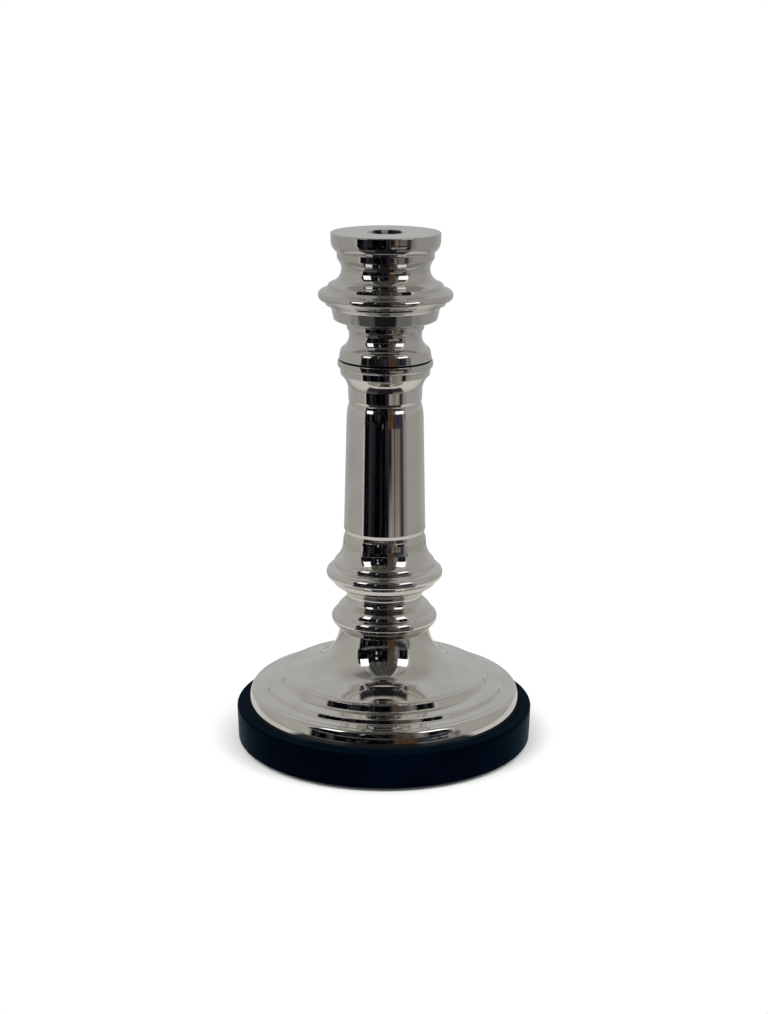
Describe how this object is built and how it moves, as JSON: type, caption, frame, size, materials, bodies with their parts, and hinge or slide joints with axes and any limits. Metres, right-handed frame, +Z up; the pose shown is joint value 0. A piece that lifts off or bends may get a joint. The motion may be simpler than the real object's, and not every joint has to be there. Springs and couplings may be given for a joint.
{
  "type": "candle stand",
  "caption": "Tall turned candle stand: polished metal castings stacked on a round black wooden disc and drawn together by a tie rod.",
  "frame": {"origin": "on the turning axis, in the plane of the felt pads' undersides, where the stand meets the table", "axes": "+Z up along the turning axis towards the candle hole; -Y towards the viewer of the picture, +X to the viewer's right"},
  "size_m": [0.18, 0.18, 0.31],
  "materials": {
    "nickel": "cast, turned, nickel plated and mirror polished",
    "lacquered_wood": "black satin lacquer",
    "zinc_steel": "zinc plated",
    "felt": "pressed felt"
  },
  "bodies": {
    "root": {"candle_cup": "nickel", "cup_pedestal": "nickel", "neck_collar": "nickel", "column": "nickel", "upper_knop": "nickel", "lower_knop": "nickel", "foot_casting": "nickel", "base_disc": "lacquered_wood", "tie_rod": "zinc_steel", "flat_washer": "zinc_steel", "spring_washer": "zinc_steel", "hex_nut": "zinc_steel", "felt_pad_1": "felt", "felt_pad_2": "felt", "felt_pad_3": "felt", "felt_pad_4": "felt"}
  },
  "joints": []
}
